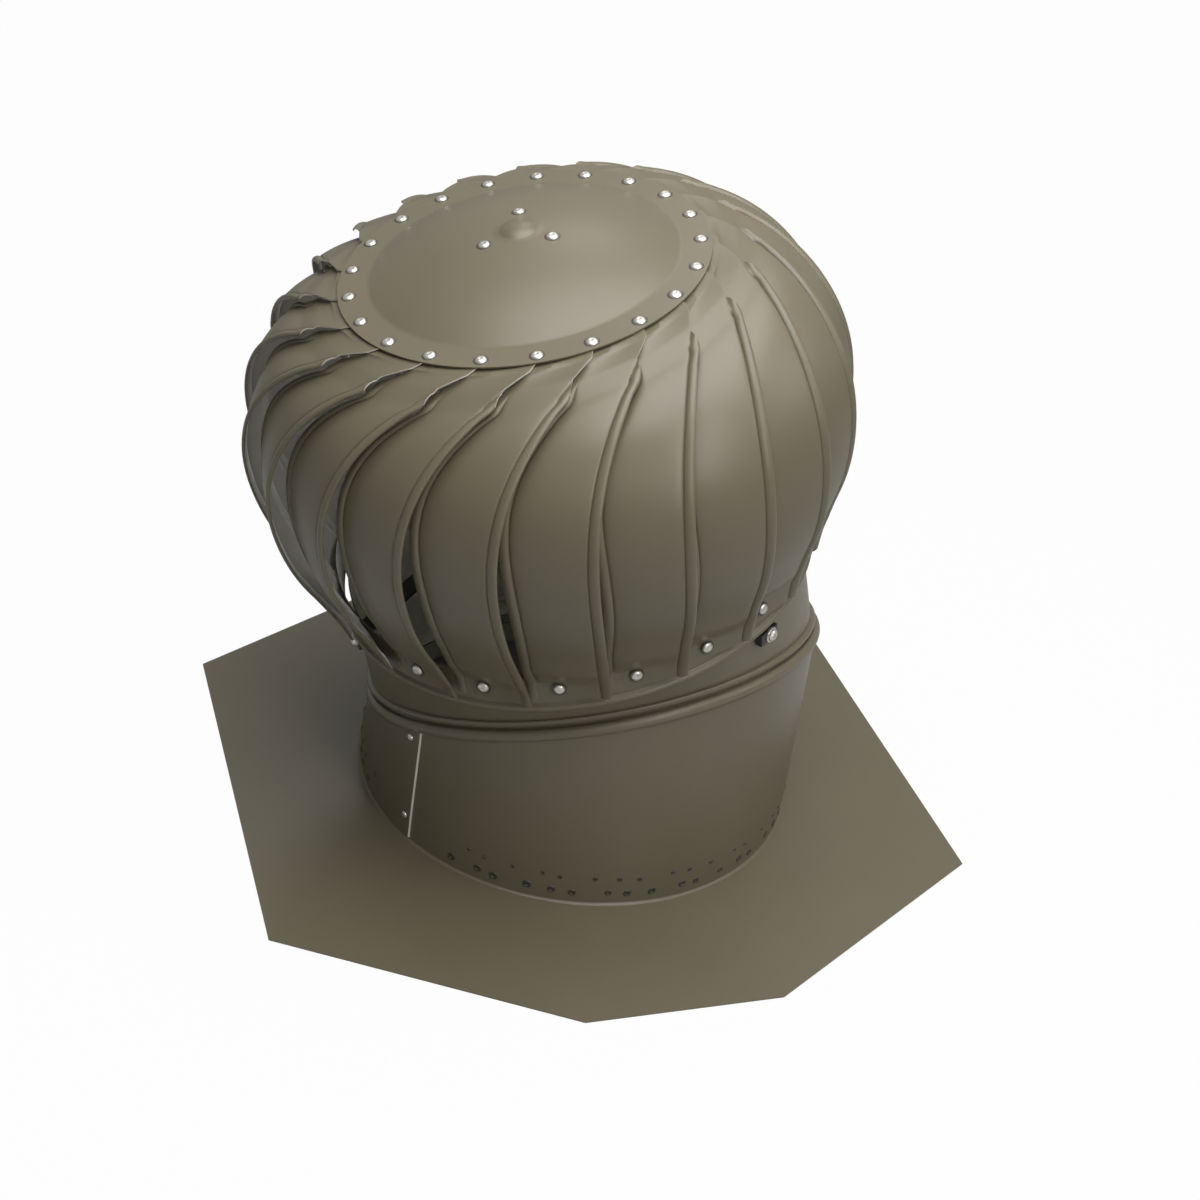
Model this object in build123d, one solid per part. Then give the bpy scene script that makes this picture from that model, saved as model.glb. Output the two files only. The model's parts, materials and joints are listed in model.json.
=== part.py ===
from build123d import *
from math import atan2, cos, degrees, hypot, pi, radians, sin, tan
import os

# Turbine roof vent for a round duct, in millimetres.
# The origin is on the duct's axis, on the underside of the flashing. +Z points up and away from the roof,
# X runs along the front edge of the flashing and Y towards its back edge.
# The head and its collar are modelled upright about the pivot of the slanted swivel,
# and then turned into place.

# Sheet metal
SHEET = 0.8
SEAM_GAP = 0.2

# Flashing: a plate with eight edges and a drawn neck
DUCT_RADIUS = 152.2
FLASHING_WIDTH = 492.0
FLASHING_DEPTH = 506.0
FLASHING_SIDE_EDGE = 300.0
FLASHING_FRONT_EDGE = 134.0
NECK_HEIGHT = 20.0
NECK_BEVEL = 3.0

# Slanted swivel between the base tube and the collar
PIVOT_HEIGHT = 104.0
SWIVEL_TILT = 22.5
SWIVEL_AZIMUTH = 117.0
SWIVEL_TURN = -44.0
SWIVEL_RADIUS = 156.0
BEAD_HEIGHT = 10.0
BEAD_REACH = 4.0
SWIVEL_GAP = 0.4

# Base tube
TUBE_STRAIGHT_HEIGHT = 22.0

# Collar, measured from the pivot along the head's axis
COLLAR_TOP = 95.0
COLLAR_RADIUS = 152.5

# Brace inside the collar
BRACE_COUNT = 3
BRACE_AZIMUTH = -14.0
FOOT_DROP = 20.0
LEG_WIDTH = 16.0
LEG_SHEET = 2.0
LEG_FOOT_BELOW = 9.0
LEG_FOOT_ABOVE = 7.0
LEG_GAP = 0.5
PAD_WIDTH = 17.0
PAD_HEIGHT = 8.5
PAD_THICKNESS = 5.0
PAD_GAP = 0.2
PAD_END = 7.0
HUB_HEIGHT = 148.0
HUB_SHEET = 3.0
HUB_RADIUS = 30.0
HUB_BOSS_RADIUS = 9.0
HUB_BOSS_LENGTH = 20.0
TAB_INNER_RADIUS = 13.0

# Fixed shaft and the bushes that run on it
SHAFT_RADIUS = 5.0
SHAFT_TOP = 320.0
SHAFT_FIT = 0.05
BUSH_WALL = 3.0
BUSH_LENGTH = 20.0
LOWER_BUSH_HEIGHT = 228.0
UPPER_BUSH_HEIGHT = 298.0
BUSH_FIT = 0.05
SLEEVE_WALL = 2.0
SLEEVE_CLOSED_END = 2.0
SLEEVE_FLANGE_RADIUS = 32.0
THRUST_PAD_HEIGHT = 4.0
RETAINER_SHEET = 1.2
RETAINER_REACH = 3.5
RETAINER_PLAY = 1.0

# Head: vanes on a bulging outline of two quarter ellipses, between a domed top plate and a ring
VANE_COUNT = 21
HEAD_RADIUS = 195.6
SHOULDER_RADIUS = 110.0
BULGE_HEIGHT = 205.0
BULGE_RISE = 101.5
BULGE_DROP = 119.5
PLATE_RADIUS = 114.0
PLATE_BAND_RADIUS = 95.0
PLATE_BAND_SLOPE = 2.5
PLATE_DOME_RISE = 21.6
PLATE_DOME_STEPS = 8
PLATE_GAP = 0.35
CROWN_RADIUS = 11.5
CROWN_TOP_RADIUS = 5.0
CROWN_RISE = 3.5
RING_RADIUS = 157.6
RING_BOTTOM = 86.0
RING_TOP = 113.0
RING_HEM_REACH = 3.0
RING_HEM_HEIGHT = 4.5

# Vanes: angles are counted from the top rivet of each vane
FIRST_VANE_AZIMUTH = 110.8
VANE_TAB_RADIUS = 98.0
VANE_TAB_END = 108.0
VANE_BOTTOM = 95.5
VANE_BEND_HEIGHT = 107.0
VANE_BEND_RADIUS = 167.5
VANE_BOTTOM_RADIUS = 166.0
VANE_GAP = 0.25
EDGE_LEAD = 1.2
TAB_LEAD = 4.0
EDGE_SWEEP = 32.0
SWEEP_POWER = 3.8
TAB_SPAN = 18.3
TAB_DEPTH = 1.8
SPAN_WAVE = 1.6
LOUVRE_DEPTH = 13.0
SWELL_END = 0.8
SWELL_POWER = 0.6
UPPER_ANGLE = 84.0
LOWER_ANGLE = -44.0
BULGE_SECTIONS = 9

# Frames
TILT = radians(SWIVEL_TILT)
TURN = radians(SWIVEL_AZIMUTH)
SWIVEL_NORMAL = Vector(sin(TILT) * cos(TURN), sin(TILT) * sin(TURN), cos(TILT))
LEVEL_AXIS = Vector(-sin(TURN), cos(TURN), 0)
SWIVEL = Plane(origin=(0, 0, 0), x_dir=LEVEL_AXIS, z_dir=SWIVEL_NORMAL)
SWIVEL_AXIS = Axis((0, 0, 0), SWIVEL_NORMAL)
HEAD = Plane(
    origin=(0, 0, PIVOT_HEIGHT),
    x_dir=Vector(1, 0, 0).rotate(SWIVEL_AXIS, SWIVEL_TURN),
    z_dir=Vector(0, 0, 1).rotate(SWIVEL_AXIS, SWIVEL_TURN),
)

# Sizes that follow from the ones above
NECK_RADIUS = DUCT_RADIUS + SHEET
TUBE_INNER = NECK_RADIUS + SEAM_GAP
TUBE_OUTER = TUBE_INNER + SHEET
TUBE_FOOT = SHEET + NECK_BEVEL
SWIVEL_INNER = SWIVEL_RADIUS - SHEET
SPIGOT_OUTER = SWIVEL_INNER - SWIVEL_GAP
SPIGOT_INNER = SPIGOT_OUTER - SHEET
BULGE_REACH = HEAD_RADIUS - SHOULDER_RADIUS
BULGE_TOP = BULGE_HEIGHT + BULGE_RISE
PLATE_RISE = SHEET * hypot(1, 2 * PLATE_DOME_RISE / PLATE_BAND_RADIUS)
VANE_PITCH = 360.0 / VANE_COUNT
BUSH_BORE = SHAFT_RADIUS + SHAFT_FIT
BUSH_RADIUS = BUSH_BORE + BUSH_WALL
SLEEVE_BORE = BUSH_RADIUS + BUSH_FIT
SLEEVE_RADIUS = SLEEVE_BORE + SLEEVE_WALL


def turned(*points):
    """Solid of revolution about Z from a closed outline of (radius, height) points."""
    return revolve(make_face(Plane.XZ * Polyline(*points, close=True)), Axis.Z)


def level(height):
    """Level plane whose x axis is the line that it shares with the slant."""
    return Plane(origin=(0, 0, height), x_dir=LEVEL_AXIS, z_dir=(0, 0, 1))


def slanted_wall(level_height, level_radius, slant_offset, slant_radius):
    """Solid between a level circle and a circle parallel to the swivel, about the pivot."""
    ends = [level(level_height) * Circle(level_radius), SWIVEL.offset(slant_offset) * Circle(slant_radius)]
    return loft(ends, ruled=True)


def seat_height(radius):
    """Height of the seat under the top plate: nearly level over the vane tabs, and domed inside them."""
    band = (SHOULDER_RADIUS - max(radius, PLATE_BAND_RADIUS)) * tan(radians(PLATE_BAND_SLOPE))
    dome = PLATE_DOME_RISE * (1 - min(radius / PLATE_BAND_RADIUS, 1) ** 2)
    return BULGE_TOP + band + dome


def outline(angle):
    """Radius, height and slope of normal on the head's outline, at an angle round its ellipses."""
    turn = radians(angle)
    stretch = BULGE_RISE if angle > 0 else BULGE_DROP
    normal = degrees(atan2(sin(turn) / stretch, cos(turn) / BULGE_REACH))
    return SHOULDER_RADIUS + BULGE_REACH * cos(turn), BULGE_HEIGHT + stretch * sin(turn), normal


def flashing():
    """Plate with eight edges, and the drawn neck that the tube stands on."""
    half_width, half_depth = FLASHING_WIDTH / 2, FLASHING_DEPTH / 2
    side, front = FLASHING_SIDE_EDGE / 2, FLASHING_FRONT_EDGE / 2
    corner = [(half_width, side), (front, half_depth)]
    mirrored = [(-x, y) for x, y in reversed(corner)]
    outline = corner + mirrored + [(-x, -y) for x, y in corner + mirrored]
    foot_radius = NECK_RADIUS + NECK_BEVEL
    plate = extrude(make_face(Polyline(*outline, close=True)) - Circle(foot_radius), SHEET)
    neck = turned(
        (foot_radius, 0),
        (foot_radius, SHEET),
        (NECK_RADIUS, SHEET + NECK_BEVEL),
        (NECK_RADIUS, NECK_HEIGHT),
        (DUCT_RADIUS, NECK_HEIGHT),
        (DUCT_RADIUS, NECK_BEVEL),
        (foot_radius - SHEET / 2, 0),
    )
    return plate + neck


def base_tube():
    """Tube on the neck, with a round slanted top that ends in a hollow bead."""
    straight_top = TUBE_STRAIGHT_HEIGHT - PIVOT_HEIGHT
    foot = TUBE_FOOT - PIVOT_HEIGHT
    straight = turned(
        (TUBE_INNER, foot),
        (TUBE_OUTER, foot),
        (TUBE_OUTER, straight_top),
        (TUBE_INNER, straight_top),
    )
    wall = slanted_wall(straight_top, TUBE_OUTER, -BEAD_HEIGHT, SWIVEL_RADIUS)
    wall -= slanted_wall(straight_top, TUBE_INNER, -BEAD_HEIGHT, SWIVEL_INNER)
    bead = turned(
        (SWIVEL_RADIUS, -BEAD_HEIGHT),
        (SWIVEL_RADIUS + BEAD_REACH, -BEAD_HEIGHT / 2),
        (SWIVEL_RADIUS, 0),
        (SWIVEL_INNER, 0),
        (SWIVEL_INNER + BEAD_REACH, -BEAD_HEIGHT / 2),
        (SWIVEL_INNER, -BEAD_HEIGHT),
    )
    return Pos(0, 0, PIVOT_HEIGHT) * (straight + wall + SWIVEL * bead)


def swivel_collar():
    """Collar whose ridge runs inside the tube's bead, with a level top edge inside the head's ring."""
    wall = slanted_wall(COLLAR_TOP, COLLAR_RADIUS, 0, SPIGOT_OUTER)
    wall -= slanted_wall(COLLAR_TOP, COLLAR_RADIUS - SHEET, 0, SPIGOT_INNER)
    ridge = turned(
        (SPIGOT_OUTER, -BEAD_HEIGHT),
        (SPIGOT_OUTER + BEAD_REACH, -BEAD_HEIGHT / 2),
        (SPIGOT_OUTER, 0),
        (SPIGOT_INNER, 0),
        (SPIGOT_INNER, -BEAD_HEIGHT),
    )
    return wall + SWIVEL * ridge


def foot_frame(number):
    """Plane on the collar's outer wall at one foot: x along the wall, y up it and z outwards."""

    def wall_ends(angle):
        along, across = cos(angle), sin(angle)
        low = SWIVEL.from_local_coords((SPIGOT_OUTER * along, SPIGOT_OUTER * across, 0))
        high = level(COLLAR_TOP).from_local_coords((COLLAR_RADIUS * along, COLLAR_RADIUS * across, 0))
        return low, high

    angle = radians(BRACE_AZIMUTH + 360 / BRACE_COUNT * number - SWIVEL_AZIMUTH - 90)
    step = radians(1)
    low, high = wall_ends(angle)
    upwards = (high - low).normalized()
    share = 1 - FOOT_DROP / (high - low).length
    before = wall_ends(angle - step)
    after = wall_ends(angle + step)
    tangent = (after[0] - before[0]) * (1 - share) + (after[1] - before[1]) * share
    return Plane(origin=high - upwards * FOOT_DROP, x_dir=tangent, z_dir=tangent.cross(upwards))


def brace_leg(number):
    """Bent strip: a foot against the collar's inner wall, an arm, and a tab that lies on the hub."""
    frame = foot_frame(number)
    depth = SHEET + LEG_GAP + LEG_SHEET / 2
    foot_middle = (LEG_FOOT_ABOVE - LEG_FOOT_BELOW) / 2
    foot = frame * Pos(0, foot_middle, -depth) * Box(LEG_WIDTH, LEG_FOOT_ABOVE + LEG_FOOT_BELOW, LEG_SHEET)
    azimuth = BRACE_AZIMUTH + 360 / BRACE_COUNT * number
    spoke = Plane.XY.rotated((0, 0, azimuth))
    tab_end = HUB_RADIUS + LEG_SHEET
    tab_length = tab_end - TAB_INNER_RADIUS
    tab_height = HUB_HEIGHT + LEG_SHEET / 2
    tab_middle = TAB_INNER_RADIUS + tab_length / 2
    tab = spoke * Pos(tab_middle, 0, tab_height) * Box(tab_length, LEG_WIDTH, LEG_SHEET)
    start = frame.from_local_coords((0, LEG_FOOT_ABOVE - LEG_SHEET / 2, -depth))
    end = spoke.from_local_coords((tab_end - LEG_SHEET / 2, 0, tab_height))
    section = Rectangle(LEG_WIDTH, LEG_SHEET)
    across_tab = spoke.from_local_coords((0, 1, 0))
    arm = loft(
        [
            Plane(origin=start, x_dir=frame.x_dir, z_dir=end - start) * section,
            Plane(origin=end, x_dir=across_tab, z_dir=end - start) * section,
        ],
        ruled=True,
    )
    return foot + arm + tab


def brace_pad(number):
    """Block outside the collar that a leg is fastened through."""
    middle = PAD_END - PAD_WIDTH / 2
    block = Pos(middle, 0, PAD_GAP + PAD_THICKNESS / 2) * Box(PAD_WIDTH, PAD_HEIGHT, PAD_THICKNESS)
    return foot_frame(number) * block


def brace_hub():
    """Six-sided plate under the legs' tabs, with a boss that holds the shaft."""
    plate = extrude(RegularPolygon(HUB_RADIUS, 2 * BRACE_COUNT, rotation=BRACE_AZIMUTH), HUB_SHEET)
    boss = Pos(0, 0, -HUB_BOSS_LENGTH / 2) * Cylinder(HUB_BOSS_RADIUS, HUB_BOSS_LENGTH)
    bore = Cylinder(SHAFT_RADIUS + SHAFT_FIT, 4 * HUB_BOSS_LENGTH)
    return Pos(0, 0, HUB_HEIGHT - HUB_SHEET) * (plate + boss - bore)


def shaft():
    """Fixed shaft, from the foot of the hub's boss to the thrust pad."""
    foot = HUB_HEIGHT - HUB_SHEET - HUB_BOSS_LENGTH
    return Pos(0, 0, foot) * extrude(Circle(SHAFT_RADIUS), SHAFT_TOP - foot)


def retaining_ring():
    """Push-on ring under the lower bush, which keeps the head from lifting off."""
    ring = Circle(SHAFT_RADIUS + RETAINER_REACH) - Circle(SHAFT_RADIUS + SHAFT_FIT)
    return Pos(0, 0, LOWER_BUSH_HEIGHT - RETAINER_PLAY - RETAINER_SHEET) * extrude(ring, RETAINER_SHEET)


def bush(height):
    """Plain bush that runs on the shaft."""
    return Pos(0, 0, height) * extrude(Circle(BUSH_RADIUS) - Circle(BUSH_BORE), BUSH_LENGTH)


def thrust_pad():
    """Disc in the sleeve's closed end, which carries the head on the shaft's tip."""
    return Pos(0, 0, SHAFT_TOP) * extrude(Circle(BUSH_RADIUS), THRUST_PAD_HEIGHT)


def bearing_sleeve():
    """Closed sleeve around the bushes, with a sloping flange under the top plate."""
    pad_top = SHAFT_TOP + THRUST_PAD_HEIGHT
    rim = SLEEVE_FLANGE_RADIUS
    return turned(
        (SLEEVE_BORE, LOWER_BUSH_HEIGHT),
        (SLEEVE_RADIUS, LOWER_BUSH_HEIGHT),
        (SLEEVE_RADIUS, seat_height(SLEEVE_RADIUS) - PLATE_RISE),
        (rim, seat_height(rim) - PLATE_RISE),
        (rim, seat_height(rim)),
        (SLEEVE_RADIUS, seat_height(SLEEVE_RADIUS)),
        (SLEEVE_RADIUS, pad_top + SLEEVE_CLOSED_END),
        (0, pad_top + SLEEVE_CLOSED_END),
        (0, pad_top),
        (SLEEVE_BORE, pad_top),
    )


def top_plate():
    """Dome with a flatter band over the vane tabs, and a raised crown that clears the sleeve."""
    radii = [PLATE_RADIUS]
    for step in range(PLATE_DOME_STEPS + 1):
        radii.append(PLATE_BAND_RADIUS + (CROWN_RADIUS - PLATE_BAND_RADIUS) * step / PLATE_DOME_STEPS)
    crown_top = seat_height(CROWN_RADIUS) + PLATE_GAP + CROWN_RISE
    lower = [(radius, seat_height(radius) + PLATE_GAP) for radius in radii]
    lower += [(CROWN_TOP_RADIUS, crown_top), (0, crown_top)]
    upper = [(radius, height + PLATE_RISE) for radius, height in reversed(lower)]
    return turned(*lower, *upper)


def bottom_ring():
    """Band inside the vanes' lower tabs, with a hemmed lower edge."""
    hem = RING_RADIUS + RING_HEM_REACH
    bevel = RING_HEM_HEIGHT / 3
    return turned(
        (RING_RADIUS - SHEET, RING_BOTTOM),
        (hem - bevel, RING_BOTTOM),
        (hem, RING_BOTTOM + bevel),
        (hem, RING_BOTTOM + 2 * bevel),
        (RING_RADIUS, RING_BOTTOM + RING_HEM_HEIGHT),
        (RING_RADIUS, RING_TOP),
        (RING_RADIUS - SHEET, RING_TOP),
    )


def vane_section(radius, height, normal, right, span, depth):
    """Thin straight section across a vane, its left edge set inwards by the louvre depth."""
    tilt = radians(normal)
    corners = []
    for azimuth, inset in ((right - span, depth), (right, 0), (right, SHEET), (right - span, depth + SHEET)):
        reach = radius - inset * cos(tilt)
        turn = radians(azimuth)
        corners.append((reach * cos(turn), reach * sin(turn), height - inset * sin(tilt)))
    return make_face(Polyline(*corners, close=True))


def vane():
    """Twisted sheet from a tab under the plate, over the bulge, to the ring that its left part rests on."""
    sections = []
    for radius, right in ((VANE_TAB_RADIUS, TAB_LEAD), (VANE_TAB_END, (TAB_LEAD + EDGE_LEAD) / 2)):
        sections.append(vane_section(radius, seat_height(radius), 90, right, TAB_SPAN, TAB_DEPTH))
    for number in range(BULGE_SECTIONS):
        share = number / (BULGE_SECTIONS - 1)
        swell = sin(pi * share * SWELL_END) ** SWELL_POWER
        right = EDGE_LEAD - EDGE_SWEEP * (1 - (1 - share) ** SWEEP_POWER)
        span = TAB_SPAN + SPAN_WAVE * sin(2 * pi * share)
        depth = TAB_DEPTH + (LOUVRE_DEPTH - TAB_DEPTH) * swell
        radius, height, normal = outline(UPPER_ANGLE + (LOWER_ANGLE - UPPER_ANGLE) * share)
        sections.append(vane_section(radius, height, normal, right, span, depth))
    ring_face = RING_RADIUS + VANE_GAP + SHEET
    for share in (0, 0.5, 1):
        radius = VANE_BEND_RADIUS + (VANE_BOTTOM_RADIUS - VANE_BEND_RADIUS) * share
        height = VANE_BEND_HEIGHT + (VANE_BOTTOM - VANE_BEND_HEIGHT) * share
        right = EDGE_LEAD - EDGE_SWEEP
        sections.append(vane_section(radius, height, 0, right, TAB_SPAN, radius - ring_face))
    return loft(sections)


def head_nodes():
    """Everything that stands on the collar's frame, upright about the pivot."""
    nodes = {"swivel_collar": swivel_collar(), "brace_hub": brace_hub(), "shaft": shaft()}
    for number in range(BRACE_COUNT):
        nodes[f"brace_leg_{number + 1}"] = brace_leg(number)
        nodes[f"brace_pad_{number + 1}"] = brace_pad(number)
    nodes["retaining_ring"] = retaining_ring()
    nodes["lower_bush"] = bush(LOWER_BUSH_HEIGHT)
    nodes["upper_bush"] = bush(UPPER_BUSH_HEIGHT)
    nodes["thrust_pad"] = thrust_pad()
    nodes["bearing_sleeve"] = bearing_sleeve()
    nodes["top_plate"] = top_plate()
    nodes["bottom_ring"] = bottom_ring()
    one_vane = vane()
    for number in range(VANE_COUNT):
        nodes[f"vane_{number + 1:02d}"] = Rot(0, 0, FIRST_VANE_AZIMUTH - VANE_PITCH * number) * one_vane
    return nodes


os.makedirs("parts", exist_ok=True)
model = {"flashing": flashing(), "base_tube": base_tube()}
for name, shape in head_nodes().items():
    model[name] = HEAD * shape
for name, shape in model.items():
    export_step(shape, f"parts/{name}.step")
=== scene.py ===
import json
import logging
import math
from dataclasses import dataclass, field
from enum import Enum, IntEnum
from typing import Callable, Sequence

import bmesh
import bpy
from mathutils import Matrix, Vector


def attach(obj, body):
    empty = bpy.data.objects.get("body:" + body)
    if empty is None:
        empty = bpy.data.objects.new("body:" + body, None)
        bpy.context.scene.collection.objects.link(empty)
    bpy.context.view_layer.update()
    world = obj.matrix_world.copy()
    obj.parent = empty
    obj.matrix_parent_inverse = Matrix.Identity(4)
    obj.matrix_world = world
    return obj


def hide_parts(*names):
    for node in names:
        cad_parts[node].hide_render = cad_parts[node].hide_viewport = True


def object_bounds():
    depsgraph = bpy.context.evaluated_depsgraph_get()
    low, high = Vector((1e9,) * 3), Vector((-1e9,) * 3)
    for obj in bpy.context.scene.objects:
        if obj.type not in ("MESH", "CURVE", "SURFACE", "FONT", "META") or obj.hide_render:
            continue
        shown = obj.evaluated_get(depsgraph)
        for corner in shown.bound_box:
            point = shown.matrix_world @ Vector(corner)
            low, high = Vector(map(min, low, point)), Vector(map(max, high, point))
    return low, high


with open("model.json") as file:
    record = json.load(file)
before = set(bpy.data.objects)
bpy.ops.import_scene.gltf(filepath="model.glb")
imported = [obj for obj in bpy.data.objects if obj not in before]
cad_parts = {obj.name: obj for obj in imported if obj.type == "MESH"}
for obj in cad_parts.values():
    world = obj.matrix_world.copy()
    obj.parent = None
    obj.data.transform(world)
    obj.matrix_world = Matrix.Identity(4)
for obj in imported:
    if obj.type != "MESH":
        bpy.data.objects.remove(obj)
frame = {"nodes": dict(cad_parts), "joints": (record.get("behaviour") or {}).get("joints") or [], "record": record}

# Dresses the turbine roof vent. Sizes are in millimetres, and the meshes in metres.
MM = 0.001
FULL_TURN = 360.0
UP = Vector((0, 0, 1))
CAD_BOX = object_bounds()

log = logging.getLogger("roof_vent")

Grid = list[list[Vector]]


class Body(Enum):
    """Rigid bodies of the vent."""

    BASE = "base"
    COLLAR = "collar"
    ROTOR = "rotor"


class Slot(Enum):
    """Material slots of the pieces that are made here."""

    SHEET = "bronze_sheet"
    BRIGHT = "bright_steel"


class Side(IntEnum):
    """Material index of a sheet's painted face, bare face and cut edge."""

    PAINTED = 0
    BARE = 1
    CUT = 2


Profile = list[tuple[float, float, Side]]
SideRule = Callable[[int, int], Side]
Values = dict[str | int, float | str | tuple[float, ...]]


def plain_side(row: int, column: int) -> Side:
    """Finish rule of a sheet that is painted all over its outer side."""
    return Side.PAINTED


def polar(azimuth: float, radius: float, height: float) -> Vector:
    """Gives the point at an azimuth in degrees, a radius and a height about an upright axis."""
    turn = math.radians(azimuth)
    return Vector((radius * math.cos(turn), radius * math.sin(turn), height))


def smooth(low: float, high: float, value: float) -> float:
    """Gives a share that rises smoothly from 0 where the value is low to 1 where it is high."""
    share = min(max((value - low) / (high - low), 0.0), 1.0)
    return share * share * (3 - 2 * share)


def joint_axis(name: str) -> Vector:
    """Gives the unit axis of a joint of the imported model, in the part's frame."""
    joint = next(entry for entry in frame["joints"] if entry["name"] == name)
    return Vector(joint["axis"]).normalized()


@dataclass(frozen=True)
class Swivel:
    """Slanted joint between the tube and the collar, which also places the head."""

    pivot_height: float = 104.0
    turn: float = -44.0
    radius: float = 156.0
    bead_height: float = 10.0

    @property
    def normal(self) -> Vector:
        """Axis that the collar turns about."""
        return joint_axis("pitch_swivel")

    @property
    def level(self) -> Vector:
        """Level line in the plane of the swivel."""
        return UP.cross(self.normal).normalized()

    def head_place(self) -> Matrix:
        """Gives the place of what is built upright about the pivot, in millimetres.

        Returns:
            The matrix from the upright frame to the part's frame, in metres.
        """
        lift = Matrix.Translation((0, 0, self.pivot_height))
        turn = Matrix.Rotation(math.radians(self.turn), 4, self.normal)
        return Matrix.Scale(MM, 4) @ lift @ turn

    def base_place(self) -> Matrix:
        """Gives the matrix from millimetres about the pivot, not turned, to metres."""
        return Matrix.Scale(MM, 4) @ Matrix.Translation((0, 0, self.pivot_height))

    def about(self, axis: Vector, angle: float, radius: float, offset: float) -> Vector:
        """Gives a point round an axis through the pivot.

        Args:
            axis: The unit axis, square to the level line.
            angle: Angle from the level line, in radians.
            radius: Distance from the axis.
            offset: Distance from the pivot along the axis.

        Returns:
            The point, about the pivot.
        """
        level = self.level
        ring = level * math.cos(angle) + axis.cross(level) * math.sin(angle)
        return ring * radius + axis * offset

    def slanted(self, angle: float, radius: float, offset: float) -> Vector:
        """Gives a point round the swivel's axis, about the pivot."""
        return self.about(self.normal, angle, radius, offset)

    def upright(self, angle: float, radius: float, height: float) -> Vector:
        """Gives a point round the upright axis, with angles from the same level line."""
        return self.about(UP, angle, radius, height)

    def level_azimuth(self) -> float:
        """Azimuth of the level line, in degrees."""
        return math.degrees(math.atan2(self.level.y, self.level.x))


SWIVEL = Swivel()


class NodePen:
    """Adds nodes to a tree and joins them."""

    def __init__(self, tree: bpy.types.NodeTree) -> None:
        """Keeps the tree that is drawn in."""
        self.tree = tree

    def add(self, kind: str, values: Values | None = None, **settings: object) -> bpy.types.Node:
        """Adds a node.

        Args:
            kind: Type name of the node.
            values: Values of its inputs.
            **settings: Properties that are set on it.

        Returns:
            The new node.
        """
        node = self.tree.nodes.new(kind)
        for key, value in settings.items():
            setattr(node, key, value)
        self.fill(node, values or {})
        return node

    @staticmethod
    def fill(node: bpy.types.Node, values: Values) -> None:
        """Sets the values of a node's inputs."""
        for key, value in values.items():
            node.inputs[key].default_value = value

    def join(self, start: bpy.types.Node, output: str, end: bpy.types.Node, entry: str | int) -> None:
        """Joins a named output of one node to an input of another."""
        self.tree.links.new(start.outputs[output], end.inputs[entry])


class SurfaceVariation:
    """Shader group that varies a finish in tone, gloss and fine relief over the surface."""

    CLOUDS: Values = {"Detail": 4.0, "Roughness": 0.62}
    GRAIN: Values = {"Detail": 2.0}
    PATCHES: Values = {"From Min": 0.3, "From Max": 0.7}
    MIDDLE: Values = {1: 0.5}

    def __init__(self) -> None:
        """Builds the group once."""
        self.tree = bpy.data.node_groups.new("surface_variation", "ShaderNodeTree")
        for name, kind in (
            ("Tone", "NodeSocketColor"),
            ("Shade", "NodeSocketColor"),
            ("Cloud Scale", "NodeSocketFloat"),
            ("Grain Scale", "NodeSocketFloat"),
            ("Gloss", "NodeSocketFloat"),
            ("Gloss Spread", "NodeSocketFloat"),
        ):
            self.tree.interface.new_socket(name, in_out="INPUT", socket_type=kind)
        for name, kind in (
            ("Color", "NodeSocketColor"),
            ("Roughness", "NodeSocketFloat"),
            ("Height", "NodeSocketFloat"),
        ):
            self.tree.interface.new_socket(name, in_out="OUTPUT", socket_type=kind)
        self._draw()

    def _draw(self) -> None:
        """Adds the group's nodes."""
        pen = NodePen(self.tree)
        given = pen.add("NodeGroupInput")
        made = pen.add("NodeGroupOutput")
        place = pen.add("ShaderNodeTexCoord")
        clouds = pen.add("ShaderNodeTexNoise", self.CLOUDS)
        grain = pen.add("ShaderNodeTexNoise", self.GRAIN)
        for noise, scale in ((clouds, "Cloud Scale"), (grain, "Grain Scale")):
            pen.join(place, "Object", noise, "Vector")
            pen.join(given, scale, noise, "Scale")
        patches = pen.add("ShaderNodeMapRange", self.PATCHES)
        pen.join(clouds, "Fac", patches, "Value")
        tone = pen.add("ShaderNodeMix", data_type="RGBA")
        pen.join(patches, "Result", tone, "Factor")
        pen.join(given, "Tone", tone, "A")
        pen.join(given, "Shade", tone, "B")
        centred = pen.add("ShaderNodeMath", self.MIDDLE, operation="SUBTRACT")
        pen.join(clouds, "Fac", centred, 0)
        gloss = pen.add("ShaderNodeMath", operation="MULTIPLY_ADD")
        pen.join(centred, "Value", gloss, 0)
        pen.join(given, "Gloss Spread", gloss, 1)
        pen.join(given, "Gloss", gloss, 2)
        pen.join(tone, "Result", made, "Color")
        pen.join(gloss, "Value", made, "Roughness")
        pen.join(grain, "Fac", made, "Height")


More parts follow.
